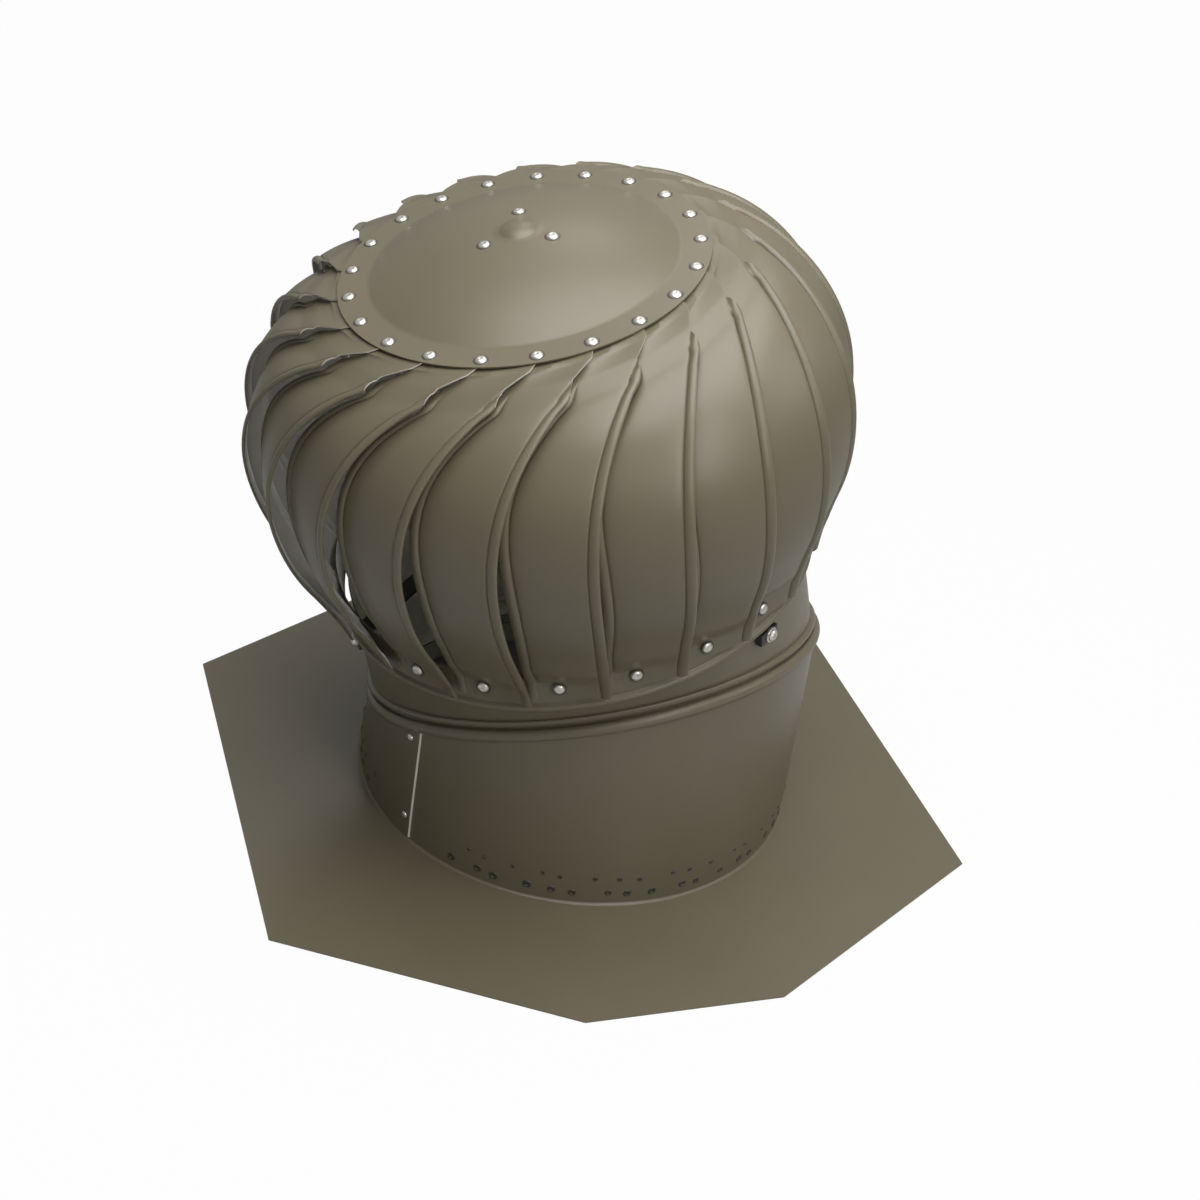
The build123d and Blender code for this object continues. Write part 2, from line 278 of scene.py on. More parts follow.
@dataclass(frozen=True)
class Finish:
    """One finish of the vent, with its colours, gloss and relief."""

    name: str
    tone: tuple[float, float, float]
    shade: tuple[float, float, float]
    gloss: float
    gloss_spread: float = 0.08
    metal: float = 0.0
    specular: float = 0.5
    cloud_scale: float = 9.0
    grain_scale: float = 900.0
    relief: float = 0.06
    relief_depth: float = 0.3

    def material(self, variation: SurfaceVariation) -> bpy.types.Material:
        """Makes the material.

        Args:
            variation: The shared shader group.

        Returns:
            The new material.
        """
        made = bpy.data.materials.new(self.name)
        made.use_nodes = True
        made.diffuse_color = (*self.tone, 1.0)
        pen = NodePen(made.node_tree)
        shader = made.node_tree.nodes["Principled BSDF"]
        pen.fill(shader, {"Metallic": self.metal, "Specular IOR Level": self.specular})
        group = pen.add("ShaderNodeGroup", node_tree=variation.tree)
        pen.fill(group, {
            "Tone": (*self.tone, 1.0),
            "Shade": (*self.shade, 1.0),
            "Cloud Scale": self.cloud_scale,
            "Grain Scale": self.grain_scale,
            "Gloss": self.gloss,
            "Gloss Spread": self.gloss_spread,
        })
        bump = pen.add("ShaderNodeBump", {"Strength": self.relief, "Distance": self.relief_depth * MM})
        pen.join(group, "Height", bump, "Height")
        pen.join(group, "Color", shader, "Base Color")
        pen.join(group, "Roughness", shader, "Roughness")
        pen.join(bump, "Normal", shader, "Normal")
        return made


class Finishes:
    """All the finishes, made once."""

    def __init__(self) -> None:
        """Makes the shared group and the materials."""
        variation = SurfaceVariation()
        self.paint = Finish(
            "bronze_paint", (0.112, 0.097, 0.062), (0.102, 0.088, 0.056), 0.38, specular=0.44
        ).material(variation)
        self.bare = Finish(
            "bare_sheet", (0.95, 0.93, 0.87), (0.84, 0.82, 0.77), 0.24, 0.14, metal=0.08, cloud_scale=26.0
        ).material(variation)
        self.cut = Finish(
            "cut_edge", (0.56, 0.54, 0.48), (0.46, 0.44, 0.39), 0.36, cloud_scale=60.0
        ).material(variation)
        self.rivet = Finish(
            "rivet_metal", (0.66, 0.645, 0.60), (0.50, 0.485, 0.44), 0.34, 0.2, metal=0.9,
            cloud_scale=160.0, relief=0.3,
        ).material(variation)
        # Near-black finish: painted shade in the hollows of the pressed marks, and painted shadow on the seats
        # round the rivet heads.
        self.pressed = Finish(
            "painted_shade", (0.030, 0.026, 0.018), (0.040, 0.035, 0.024), 0.5
        ).material(variation)
        self.black = Finish(
            "black_paint", (0.012, 0.012, 0.011), (0.018, 0.017, 0.016), 0.45
        ).material(variation)
        self.bright = Finish(
            "drawn_steel", (0.55, 0.55, 0.55), (0.46, 0.46, 0.45), 0.3, metal=1.0, cloud_scale=40.0
        ).material(variation)
        self.bush = Finish(
            "bush_resin", (0.72, 0.70, 0.64), (0.66, 0.64, 0.57), 0.5, cloud_scale=60.0
        ).material(variation)

    @property
    def sheet(self) -> list[bpy.types.Material]:
        """Materials of a painted sheet, in the order of Side."""
        return [self.paint, self.bare, self.cut]


class MeshWorks:
    """Makes closed meshes of thin sheet and turned parts."""

    SHARP_ANGLE = 38.0

    @classmethod
    def closed(
        cls,
        name: str,
        points: Sequence[Vector],
        faces: Sequence[Sequence[int]],
        sides: Sequence[Side],
        sharp: float = SHARP_ANGLE,
    ) -> bpy.types.Mesh:
        """Makes a mesh with outward faces, smooth but for its sharp edges.

        Args:
            name: Name of the mesh.
            points: Corners.
            faces: Corner numbers of each face.
            sides: Which finish each face has.
            sharp: Least angle of a sharp edge, in degrees.

        Returns:
            The new mesh.
        """
        mesh = bpy.data.meshes.new(name)
        mesh.from_pydata(points, [], faces)
        mesh.polygons.foreach_set("material_index", [int(side) for side in sides])
        work = bmesh.new()
        work.from_mesh(mesh)
        bmesh.ops.recalc_face_normals(work, faces=work.faces)
        work.to_mesh(mesh)
        work.free()
        mesh.polygons.foreach_set("use_smooth", [True] * len(mesh.polygons))
        mesh.set_sharp_from_angle(angle=math.radians(sharp))
        return mesh

    @classmethod
    def sheet(
        cls,
        name: str,
        outer: Grid,
        inner: Grid,
        wraps: bool,
        side_at: SideRule = plain_side,
        sharp: float = SHARP_ANGLE,
    ) -> bpy.types.Mesh:
        """Makes a thin sheet from its two faces.

        Args:
            name: Name of the mesh.
            outer: Rows of points on the painted face.
            inner: Rows of points on the bare face.
            wraps: Whether each row is a closed ring.
            side_at: Finish of each face of the outer side, with the first edge as column -1.
            sharp: Least angle of a sharp edge, in degrees.

        Returns:
            The new mesh.
        """
        rows, columns = len(outer), len(outer[0])
        points = [point for row in outer for point in row] + [point for row in inner for point in row]
        back = rows * columns
        steps = columns if wraps else columns - 1
        faces: list[tuple[int, ...]] = []
        sides: list[Side] = []
        for row in range(rows - 1):
            for column in range(steps):
                start = row * columns + column
                beside = row * columns + (column + 1) % columns
                faces.append((start, beside, beside + columns, start + columns))
                sides.append(side_at(row, column))
                faces.append((start + back, start + columns + back, beside + columns + back, beside + back))
                sides.append(Side.BARE)
        for row in (0, rows - 1):
            for column in range(steps):
                start = row * columns + column
                beside = row * columns + (column + 1) % columns
                faces.append((start, start + back, beside + back, beside))
                sides.append(Side.PAINTED)
        for column, edge in () if wraps else ((0, -1), (columns - 1, columns)):
            for row in range(rows - 1):
                start = row * columns + column
                faces.append((start, start + columns, start + columns + back, start + back))
                sides.append(side_at(row, edge))
        return cls.closed(name, points, faces, sides, sharp)

    @classmethod
    def turned(cls, name: str, profile: Profile, place: Matrix, segments: int = 160) -> bpy.types.Mesh:
        """Makes a turned part from a closed profile.

        Args:
            name: Name of the mesh.
            profile: Radius, height and finish of the stretch that starts at each point.
            place: Matrix from millimetres upright to the part's frame.
            segments: Number of steps round.

        Returns:
            The new mesh.
        """
        points: list[Vector] = []
        rings: list[list[int]] = []
        for radius, height, _ in profile:
            count = segments if radius > 0 else 1
            rings.append(list(range(len(points), len(points) + count)))
            for step in range(count):
                angle = math.tau * step / segments
                points.append(place @ Vector((radius * math.cos(angle), radius * math.sin(angle), height)))
        faces: list[list[int]] = []
        sides: list[Side] = []
        for number, (_, _, side) in enumerate(profile):
            low, high = rings[number], rings[(number + 1) % len(rings)]
            if len(low) == len(high) == 1:
                continue
            for step in range(segments):
                after = step + 1
                corners = [low[step % len(low)], low[after % len(low)]]
                corners += [high[after % len(high)], high[step % len(high)]]
                faces.append(list(dict.fromkeys(corners)))
                sides.append(side)
        return cls.closed(name, points, faces, sides)


@dataclass(frozen=True)
class Mark:
    """Place of one small repeated piece and the way that it faces."""

    place: Vector
    facing: Vector


class MarkScatter:
    """Geometry Nodes tree that sets a small pattern on marks."""

    FACING = "facing"

    def __init__(self) -> None:
        """Builds the tree with its named inputs."""
        self.tree = bpy.data.node_groups.new("set_on_marks", "GeometryNodeTree")
        face = self.tree.interface
        face.new_socket("Geometry", in_out="INPUT", socket_type="NodeSocketGeometry")
        for name, kind in (
            ("Pattern", "NodeSocketObject"),
            ("Smallest", "NodeSocketFloat"),
            ("Largest", "NodeSocketFloat"),
            ("Seed", "NodeSocketInt"),
            ("Finish", "NodeSocketMaterial"),
        ):
            face.new_socket(name, in_out="INPUT", socket_type=kind)
        face.new_socket("Geometry", in_out="OUTPUT", socket_type="NodeSocketGeometry")
        pen = NodePen(self.tree)
        given = pen.add("NodeGroupInput")
        made = pen.add("NodeGroupOutput")
        pattern = pen.add("GeometryNodeObjectInfo")
        facing = pen.add("GeometryNodeInputNamedAttribute", {"Name": self.FACING}, data_type="FLOAT_VECTOR")
        turn = pen.add("FunctionNodeAlignRotationToVector", axis="Z")
        size = pen.add("FunctionNodeRandomValue", data_type="FLOAT")
        spread = pen.add("GeometryNodeInstanceOnPoints")
        real = pen.add("GeometryNodeRealizeInstances")
        finish = pen.add("GeometryNodeSetMaterial")
        floats = [socket for socket in size.inputs if socket.type == "VALUE"]
        for name, socket in zip(("Smallest", "Largest"), floats):
            self.tree.links.new(given.outputs[name], socket)
        pen.join(given, "Seed", size, "Seed")
        pen.join(given, "Pattern", pattern, "Object")
        pen.join(facing, "Attribute", turn, "Vector")
        pen.join(given, "Geometry", spread, "Points")
        pen.join(pattern, "Geometry", spread, "Instance")
        pen.join(turn, "Rotation", spread, "Rotation")
        value = next(socket for socket in size.outputs if socket.type == "VALUE")
        self.tree.links.new(value, spread.inputs["Scale"])
        pen.join(spread, "Instances", real, "Geometry")
        pen.join(real, "Geometry", finish, "Geometry")
        pen.join(given, "Finish", finish, "Material")
        pen.join(finish, "Geometry", made, "Geometry")

    def mesh(
        self,
        name: str,
        marks: Sequence[Mark],
        pattern: bpy.types.Mesh,
        finish: bpy.types.Material,
        spread: float,
        seed: int,
    ) -> bpy.types.Mesh:
        """Sets a pattern on every mark.

        Args:
            name: Name of the new mesh.
            marks: Where the pattern goes.
            pattern: Mesh of one pattern, upright at the origin.
            finish: Material of all of them.
            spread: Share by which sizes differ.
            seed: Seed of the sizes.

        Returns:
            One plain mesh.
        """
        points = bpy.data.meshes.new(name + "_marks")
        points.from_pydata([mark.place for mark in marks], [], [])
        facing = points.attributes.new(self.FACING, "FLOAT_VECTOR", "POINT")
        facing.data.foreach_set("vector", [value for mark in marks for value in mark.facing])
        holder = bpy.data.objects.new(name + "_marks", points)
        model = bpy.data.objects.new(name + "_pattern", pattern)
        for item in (holder, model):
            bpy.context.scene.collection.objects.link(item)
        modifier = holder.modifiers.new("set_on_marks", "NODES")
        modifier.node_group = self.tree
        values = {
            "Pattern": model,
            "Smallest": 1.0 - spread,
            "Largest": 1.0 + spread,
            "Seed": seed,
            "Finish": finish,
        }
        for item in self.tree.interface.items_tree:
            if item.name in values:
                modifier[item.identifier] = values[item.name]
        depsgraph = bpy.context.evaluated_depsgraph_get()
        result = bpy.data.meshes.new_from_object(holder.evaluated_get(depsgraph))
        result.name = name
        holder.modifiers.remove(modifier)
        for item in (holder, model):
            bpy.data.objects.remove(item)
        return result


class Workshop:
    """Turns meshes into pieces that ride on a body."""

    def __init__(self) -> None:
        """Makes the finishes that pieces are dressed in and the tree that repeats the small ones."""
        self.finishes = Finishes()
        self.scatter = MarkScatter()

    def fit(
        self,
        name: str,
        mesh: bpy.types.Mesh,
        body: Body,
        slot: Slot,
        materials: Sequence[bpy.types.Material],
        replaced: Sequence[str] = (),
    ) -> None:
        """Adds a piece to the scene.

        Args:
            name: Name of the piece.
            mesh: Its mesh, in the part's frame.
            body: Body that it rides on.
            slot: Material slot of the record; not used.
            materials: Its materials, in the order of their indices.
            replaced: Solids that it stands for.
        """
        if not mesh.materials:
            for material in materials:
                mesh.materials.append(material)
        piece = bpy.data.objects.new(name, mesh)
        bpy.context.scene.collection.objects.link(piece)
        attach(piece, body.value)
        if replaced:
            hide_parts(*replaced)
        log.info("%s: %d faces on %s", name, len(mesh.polygons), body.value)

    def fit_sheet(self, name: str, mesh: bpy.types.Mesh, body: Body, solid: str) -> None:
        """Adds a painted sheet in the place of a solid."""
        self.fit(name, mesh, body, Slot.SHEET, self.finishes.sheet, [solid])

    def fit_small(
        self,
        name: str,
        marks: Sequence[Mark],
        pattern: bpy.types.Mesh,
        body: Body,
        slot: Slot,
        finish: bpy.types.Material,
        spread: float = 0.04,
        seed: int = 3,
    ) -> None:
        """Adds a small pattern set on every mark, as one piece in one finish."""
        mesh = self.scatter.mesh(name, marks, pattern, finish, spread, seed)
        self.fit(name, mesh, body, slot, [finish])

    def dress(self, nodes: Sequence[str], material: bpy.types.Material) -> None:
        """Gives solids that are shown as they are a finish.

        Args:
            nodes: Names of the solids.
            material: Their finish.
        """
        for node in nodes:
            mesh = frame["nodes"][node].data
            mesh.materials.clear()
            mesh.materials.append(material)
            log.info("%s: %s", node, material.name)


class SmallPatterns:
    """Meshes of the small pieces that repeat, each standing on the origin with its foot sunk in the sheet."""

    RIVET_SUNK = 0.6
    RIVET_LIP = 0.1
    RIVET_DOME = (0.95, 0.84, 0.68, 0.5)
    SEAT_SUNK = 0.4
    SCREW_SUNK = 0.5
    WASHER_RISE = 0.7
    WASHER_EDGE = 0.9
    MARK_SUNK = 0.5
    MARK_FOOT = 0.02
    MARK_FLOOR = 0.05

    @staticmethod
    def turned(name: str, outline: Sequence[tuple[float, float]], segments: int) -> bpy.types.Mesh:
        """Turns the outline of a piece in one finish, given as radius and height."""
        profile = [(radius, height, Side.PAINTED) for radius, height in outline]
        return MeshWorks.turned(name, profile, Matrix.Scale(MM, 4), segments)

    @classmethod
    def rivet(cls, radius: float, rise: float, dimple: float) -> bpy.types.Mesh:
        """Makes a low domed head with a shallow dimple.

        Args:
            radius: Radius of the head.
            rise: Height of the dome.
            dimple: Depth of the dimple.

        Returns:
            The mesh.
        """
        outline = [(0.0, -cls.RIVET_SUNK), (radius * 0.9, -cls.RIVET_SUNK), (radius, cls.RIVET_LIP)]
        for share in cls.RIVET_DOME:
            outline.append((radius * share, rise * math.sqrt(1 - share * share) + cls.RIVET_LIP))
        outline += [(radius * 0.3, rise * 0.94), (radius * 0.16, rise - dimple), (0.0, rise - dimple)]
        return cls.turned("rivet", outline, 20)

    @classmethod
    def seat(cls, radius: float, rise: float) -> bpy.types.Mesh:
        """Makes the thin dark disc that a rivet's head stands on: a painted shadow round the head.

        Args:
            radius: Radius of the disc.
            rise: Height of its face.

        Returns:
            The mesh.
        """
        outline = [(0.0, -cls.SEAT_SUNK), (radius, -cls.SEAT_SUNK), (radius, rise * 0.4)]
        outline += [(radius * 0.96, rise), (0.0, rise)]
        return cls.turned("seat", outline, 20)

    @classmethod
    def screw(cls, radius: float, rise: float) -> bpy.types.Mesh:
        """Makes a round screw head with a washer face and a sunk centre.

        Args:
            radius: Radius of the head.
            rise: Height of the head.

        Returns:
            The mesh.
        """
        washer = radius * 1.25
        outline = [(0.0, -cls.SCREW_SUNK), (washer, -cls.SCREW_SUNK), (washer, cls.WASHER_RISE)]
        outline += [(radius, cls.WASHER_EDGE), (radius * 0.96, rise * 0.7), (radius * 0.7, rise)]
        outline += [(radius * 0.4, rise), (radius * 0.34, rise * 0.55), (0.0, rise * 0.55)]
        return cls.turned("screw", outline, 28)

    @classmethod
    def pressed_mark(cls, radius: float, rise: float) -> bpy.types.Mesh:
        """Makes a pressed mark: a low ring round a hollow.

        Args:
            radius: Radius of the mark.
            rise: Height of the ring.

        Returns:
            The mesh.
        """
        outline = [(0.0, -cls.MARK_SUNK), (radius, -cls.MARK_SUNK), (radius, cls.MARK_FOOT)]
        outline += [(radius * 0.8, rise), (radius * 0.55, rise)]
        outline += [(radius * 0.4, cls.MARK_FLOOR), (0.0, cls.MARK_FLOOR)]
        return cls.turned("pressed_mark", outline, 14)


@dataclass
class Flashing:
    """Plate with eight edges and a drawn neck under the tube."""

    width: float = 492.0
    depth: float = 506.0
    side_edge: float = 300.0
    front_edge: float = 134.0
    sheet: float = 0.8
    neck_radius: float = 153.0
    neck_height: float = 20.0
    fillet: float = 3.0
    fillet_steps: int = 6
    between_corners: int = 24
    flat_shares: tuple[float, ...] = (0.3, 0.65, 0.985, 1.0)

    def corners(self) -> list[tuple[float, float]]:
        """Gives the corners of the plate.

        Returns:
            Their places in order of angle.
        """
        half_width, half_depth = self.width / 2, self.depth / 2
        side, front = self.side_edge / 2, self.front_edge / 2
        quarter = [(half_width, side), (front, half_depth)]
        mirrored = [(-x, y) for x, y in reversed(quarter)]
        return quarter + mirrored + [(-x, -y) for x, y in quarter + mirrored]

    def edge_points(self) -> list[Vector]:
        """Gives points along the plate's edge.

        Returns:
            The points, with every corner among them.
        """
        corners = [Vector((x, y, 0)) for x, y in self.corners()]
        points = []
        for start, end in zip(corners, corners[1:] + corners[:1]):
            for step in range(self.between_corners):
                points.append(start.lerp(end, step / self.between_corners))
        return points

    def rows(self, inset: float, drop: float) -> Grid:
        """Gives rings of points from the neck's top, down the fillet and out to the edge.

        Args:
            inset: How far the neck's face is moved inwards.
            drop: How far the plate's face is moved down.

        Returns:
            Rows of points in metres.
        """
        edge = self.edge_points()
        foot = self.sheet + self.fillet
        profile = [(self.neck_radius - inset, self.neck_height), (self.neck_radius - inset, foot)]
        for step in range(1, self.fillet_steps + 1):
            angle = math.pi / 2 * step / self.fillet_steps
            reach = self.neck_radius - inset + (self.fillet + inset) * (1 - math.cos(angle))
            height = foot - (self.fillet + drop) * math.sin(angle)
            profile.append((reach, height))
        ways = [point.normalized() for point in edge]
        rows = [[way * radius + UP * height for way in ways] for radius, height in profile]
        fillet_end, flat = profile[-1]
        for share in self.flat_shares:
            rows.append([(way * fillet_end).lerp(end, share) + UP * flat for way, end in zip(ways, edge)])
        return [[point * MM for point in row] for row in rows]

    def build(self, shop: Workshop) -> None:
        """Adds the flashing."""
        mesh = MeshWorks.sheet("flashing_sheet", self.rows(0.0, 0.0), self.rows(self.sheet, self.sheet), True)
        shop.fit_sheet("flashing_sheet", mesh, Body.BASE, "flashing")


@dataclass
class BaseTube:
    """Tube with a lap seam, pressed marks at its foot and a round slanted bead."""

    radius: float = 154.0
    foot: float = 3.8
    straight_top: float = 22.0
    sheet: float = 0.8
    columns: int = 240
    wall_rows: int = 10
    bead_rows: int = 14
    bead_reach: float = 3.6
    bead_low: float = -9.0
    bead_high: float = -0.6
    seam_azimuth: float = -153.1
    seam_step: float = 1.0
    seam_reach: float = 45.0
    seam_gap: float = 0.35
    sharp_angle: float = 46.0
    rivet_azimuth: float = -155.5
    rivet_heights: tuple[float, ...] = (86.0, 19.6)
    rivet_radius: float = 2.5
    rivet_rise: float = 1.2
    rivet_dimple: float = 0.15
    mark_heights: tuple[float, ...] = (11.0, 23.0)
    mark_radii: tuple[float, ...] = (2.8, 1.6)
    mark_rise: float = 0.5
    mark_pitch: float = 6.6
    mark_clear: float = 14.0
    mark_wander: float = 1.3
    mark_phase: float = 2.3
    row_phase: float = 1.7
    mark_spread: float = 0.15
    searches: int = 4

    def lap(self, turn: float) -> float:
        """Gives how far the wall stands proud at an angle past the seam, where it laps its other end."""
        return self.seam_step * smooth(FULL_TURN - self.seam_reach, FULL_TURN, turn)

    def wall_point(self, angle: float, share: float, out: float) -> Vector:
        """Gives a point of the wall between the straight foot and the bead.

        Args:
            angle: Angle from the swivel's level line, in radians.
            share: Share of the way up.
            out: Distance outwards from the outer face.

        Returns:
            The point, about the pivot.
        """
        low = SWIVEL.upright(angle, self.radius + out, self.straight_top - SWIVEL.pivot_height)
        high = SWIVEL.slanted(angle, SWIVEL.radius + out, self.bead_low)
        return low.lerp(high, share)

    def rows(self, inset: float) -> Grid:
        """Gives rings of points from the foot to the top of the bead.

        Args:
            inset: How far the face is moved inwards.

        Returns:
            Rows of points in metres.
        """
        start = self.seam_azimuth - SWIVEL.level_azimuth()
        turns = [(FULL_TURN - self.seam_gap) * column / (self.columns - 1) for column in range(self.columns)]
        ways = [(math.radians(start + turn), self.lap(turn) - inset) for turn in turns]
        foot = self.foot - SWIVEL.pivot_height
        rows = [[SWIVEL.upright(angle, self.radius + out, foot) for angle, out in ways]]
        for row in range(self.wall_rows + 1):
            rows.append([self.wall_point(angle, row / self.wall_rows, out) for angle, out in ways])
        for row in range(1, self.bead_rows + 1):
            turn = math.pi * row / self.bead_rows
            radius = SWIVEL.radius + self.bead_reach * math.sin(turn)
            offset = self.bead_low + (self.bead_high - self.bead_low) * (1 - math.cos(turn)) / 2
            rows.append([SWIVEL.slanted(angle, radius + out, offset) for angle, out in ways])
        place = SWIVEL.base_place()
        return [[place @ point for point in row] for row in rows]

    def wall_mark(self, azimuth: float, height: float) -> Mark:
        """Gives a mark on the wall.

        Args:
            azimuth: Angle round the part's upright axis, in degrees.
            height: Height above the flashing's underside.

        Returns:
            The mark.
        """
        out = self.lap((azimuth - self.seam_azimuth) % FULL_TURN)
        angle = math.radians(azimuth - SWIVEL.level_azimuth())
        turn = math.radians(azimuth)
        for _ in range(self.searches):
            top = SWIVEL.pivot_height + self.wall_point(angle, 1.0, out).z
            share = max(0.0, (height - self.straight_top) / (top - self.straight_top))
            point = self.wall_point(angle, share, out)
            missed = turn - math.atan2(point.y, point.x)
            angle += math.atan2(math.sin(missed), math.cos(missed))
        place = Vector((point.x, point.y, height))
        return Mark(place * MM, Vector((math.cos(turn), math.sin(turn), 0)))

    def side(self, row: int, column: int) -> Side:
        """Gives the finish of a face of the outer side: the end of the lap shows bare metal."""
        return Side.CUT if column == self.columns - 1 and row <= self.wall_rows else Side.PAINTED

    def build_marks(self, shop: Workshop) -> None:
        """Adds two rows of pressed marks that hold the tube on the neck.

        Args:
            shop: Workshop that fits pieces.
        """
        count = int((FULL_TURN - 2 * self.mark_clear) / self.mark_pitch)
        first = self.seam_azimuth + self.mark_clear
        for number, (height, radius) in enumerate(zip(self.mark_heights, self.mark_radii)):
            marks = []
            for step in range(count):
                wander = self.mark_wander * math.sin(step * self.mark_phase + number * self.row_phase)
                azimuth = first + (step + number / 2) * self.mark_pitch + wander
                marks.append(self.wall_mark(azimuth, height + wander / 2))
            name, pattern = f"pressed_marks_{number + 1}", SmallPatterns.pressed_mark(radius, self.mark_rise)
            # The marks are near black all over: painted shade in their hollows.
            finish = shop.finishes.pressed
            shop.fit_small(name, marks, pattern, Body.BASE, Slot.SHEET, finish, self.mark_spread, number)

    def build(self, shop: Workshop) -> None:
        """Adds the tube, its seam rivets and its pressed marks.

        Args:
            shop: Workshop that fits pieces.
        """
        mesh = MeshWorks.sheet(
            "base_tube_sheet", self.rows(0.0), self.rows(self.sheet), True, self.side, self.sharp_angle
        )
        shop.fit_sheet("base_tube_sheet", mesh, Body.BASE, "base_tube")
        marks = [self.wall_mark(self.rivet_azimuth, height) for height in self.rivet_heights]
        rivet = SmallPatterns.rivet(self.rivet_radius, self.rivet_rise, self.rivet_dimple)
        shop.fit_small("seam_rivets", marks, rivet, Body.BASE, Slot.BRIGHT, shop.finishes.rivet)
        self.build_marks(shop)


@dataclass
class Collar:
    """Collar on the swivel, with the brace that carries the shaft."""

    spigot: float = 154.2
    spigot_reach: float = 2.8
    spigot_rows: int = 4
    top: float = 95.0
    wall_spigot: float = 154.8
    top_radius: float = 152.5
    sheet: float = 0.8
    columns: int = 200
    wall_rows: int = 12
    ridge_reach: float = 3.2
    ridge_low: float = 0.5
    ridge_high: float = 6.5
    ridge_rows: int = 12
    foot_azimuths: tuple[float, ...] = (-14.0, 106.0, 226.0)
    foot_drop: float = 20.0
    pad_seat: float = 5.2
    screw_radius: float = 4.0
    screw_rise: float = 2.8

    def wall_ends(self, angle: float, radius: float, inset: float) -> tuple[Vector, Vector]:
        """Gives the two ends of a line up the wall, on the swivel's plane and on the top edge."""
        low = SWIVEL.slanted(angle, radius - inset, 0.0)
        return low, SWIVEL.upright(angle, self.top_radius - inset, self.top)

    def ridge_point(self, angle: float, offset: float, reach: float, inset: float) -> Vector:
        """Gives a point on the wall at a distance from the swivel's plane.

        Args:
            angle: Angle from the swivel's level line, in radians.
            offset: Distance from the plane.
            reach: How far the ridge stands out there.
            inset: How far the face is moved inwards.

        Returns:
            The point, about the pivot.
        """
        low, high = self.wall_ends(angle, self.spigot, inset)
        wall = low.lerp(high, offset / (high - low).dot(SWIVEL.normal))
        return wall + SWIVEL.slanted(angle, reach, 0.0)

    def rows(self, inset: float) -> Grid:
        """Gives rings of points from inside the bead, over the ridge, to the top edge.

        Args:
            inset: How far the face is moved inwards.

        Returns:
            Rows of points in metres.
        """
        angles = [math.tau * column / self.columns for column in range(self.columns)]
        rows: Grid = []
        for row in range(self.spigot_rows + 1):
            share = row / self.spigot_rows
            radius = self.spigot + self.spigot_reach * math.sin(math.pi * share) - inset
            rows.append([SWIVEL.slanted(angle, radius, SWIVEL.bead_height * (share - 1)) for angle in angles])
        for row in range(self.ridge_rows + 1):
            turn = math.pi * row / self.ridge_rows
            offset = self.ridge_low + (self.ridge_high - self.ridge_low) * (1 - math.cos(turn)) / 2
            reach = self.ridge_reach * math.sin(turn)
            rows.append([self.ridge_point(angle, offset, reach, inset) for angle in angles])
        over_ridge = rows[-1]
        tops = [self.wall_ends(angle, self.spigot, inset)[1] for angle in angles]
        for row in range(1, self.wall_rows + 1):
            rows.append([low.lerp(high, row / self.wall_rows) for low, high in zip(over_ridge, tops)])
        place = SWIVEL.head_place()
        return [[place @ point for point in row] for row in rows]

    def foot_mark(self, azimuth: float) -> Mark:
        """Gives the place of a foot screw's head.

        Args:
            azimuth: Angle of the foot in the head's upright frame, in degrees.

        Returns:
            The mark, on the outer face of the pad.
        """
        place = SWIVEL.head_place()
        angle = math.radians(azimuth - SWIVEL.level_azimuth())
        low, high = self.wall_ends(angle, self.wall_spigot, 0.0)
        upwards = (high - low).normalized()
        share = 1 - self.foot_drop / (high - low).length
        step = math.radians(1)
        before = self.wall_ends(angle - step, self.wall_spigot, 0.0)
        after = self.wall_ends(angle + step, self.wall_spigot, 0.0)
        along = (after[0] - before[0]) * (1 - share) + (after[1] - before[1]) * share
        outward = along.cross(upwards).normalized()
        seat = high - upwards * self.foot_drop + outward * self.pad_seat
        return Mark(place @ seat, (place.to_3x3() @ outward).normalized())

    def build(self, shop: Workshop) -> None:
        """Adds the collar and its foot screws, and dresses the brace.

        Args:
            shop: Workshop that fits pieces.
        """
        mesh = MeshWorks.sheet("collar_sheet", self.rows(0.0), self.rows(self.sheet), True)
        shop.fit_sheet("collar_sheet", mesh, Body.COLLAR, "swivel_collar")
        marks = [self.foot_mark(azimuth) for azimuth in self.foot_azimuths]
        screw = SmallPatterns.screw(self.screw_radius, self.screw_rise)
        shop.fit_small("foot_screws", marks, screw, Body.COLLAR, Slot.BRIGHT, shop.finishes.rivet)
        members = frame["record"]["behaviour"]["bodies"][Body.COLLAR.value]
        shop.dress([node for node in members if node.startswith("brace")], shop.finishes.black)
        shop.dress(["shaft", "retaining_ring"], shop.finishes.bright)


@dataclass(frozen=True)
class Bead:
    """Pressed bead along an edge of a vane: a rounded strip with a crease beside it."""

    width: float = 6.8
    rise: float = 1.5
    crease: float = 0.8
    shoulder: float = 2.0
    strip_steps: int = 10
    shoulder_shares: tuple[float, ...] = (0.25, 0.6, 1.0)

    def height(self, away: float) -> float:
        """Gives the relief of the bead.

        Args:
            away: Distance from the edge.

        Returns:
            Height over the plain sheet.
        """
        if away >= self.width + self.shoulder:
            return 0.0
        if away > self.width:
            return -self.crease * (1 - (away - self.width) / self.shoulder) ** 2
        half = self.width / 2
        strip = math.sqrt(max(0.0, 1 - ((away - half) / half) ** 2))
        return self.rise * strip - self.crease * max(0.0, away / self.width) ** 3

    def steps(self) -> list[float]:
        """Gives the distances from the edge where the relief needs points.

        Returns:
            The distances, over the strip and its shoulder.
        """
        turns = [math.pi * step / self.strip_steps for step in range(self.strip_steps + 1)]
        strip = [self.width * (1 - math.cos(turn)) / 2 for turn in turns]
        return strip + [self.width + self.shoulder * share for share in self.shoulder_shares]


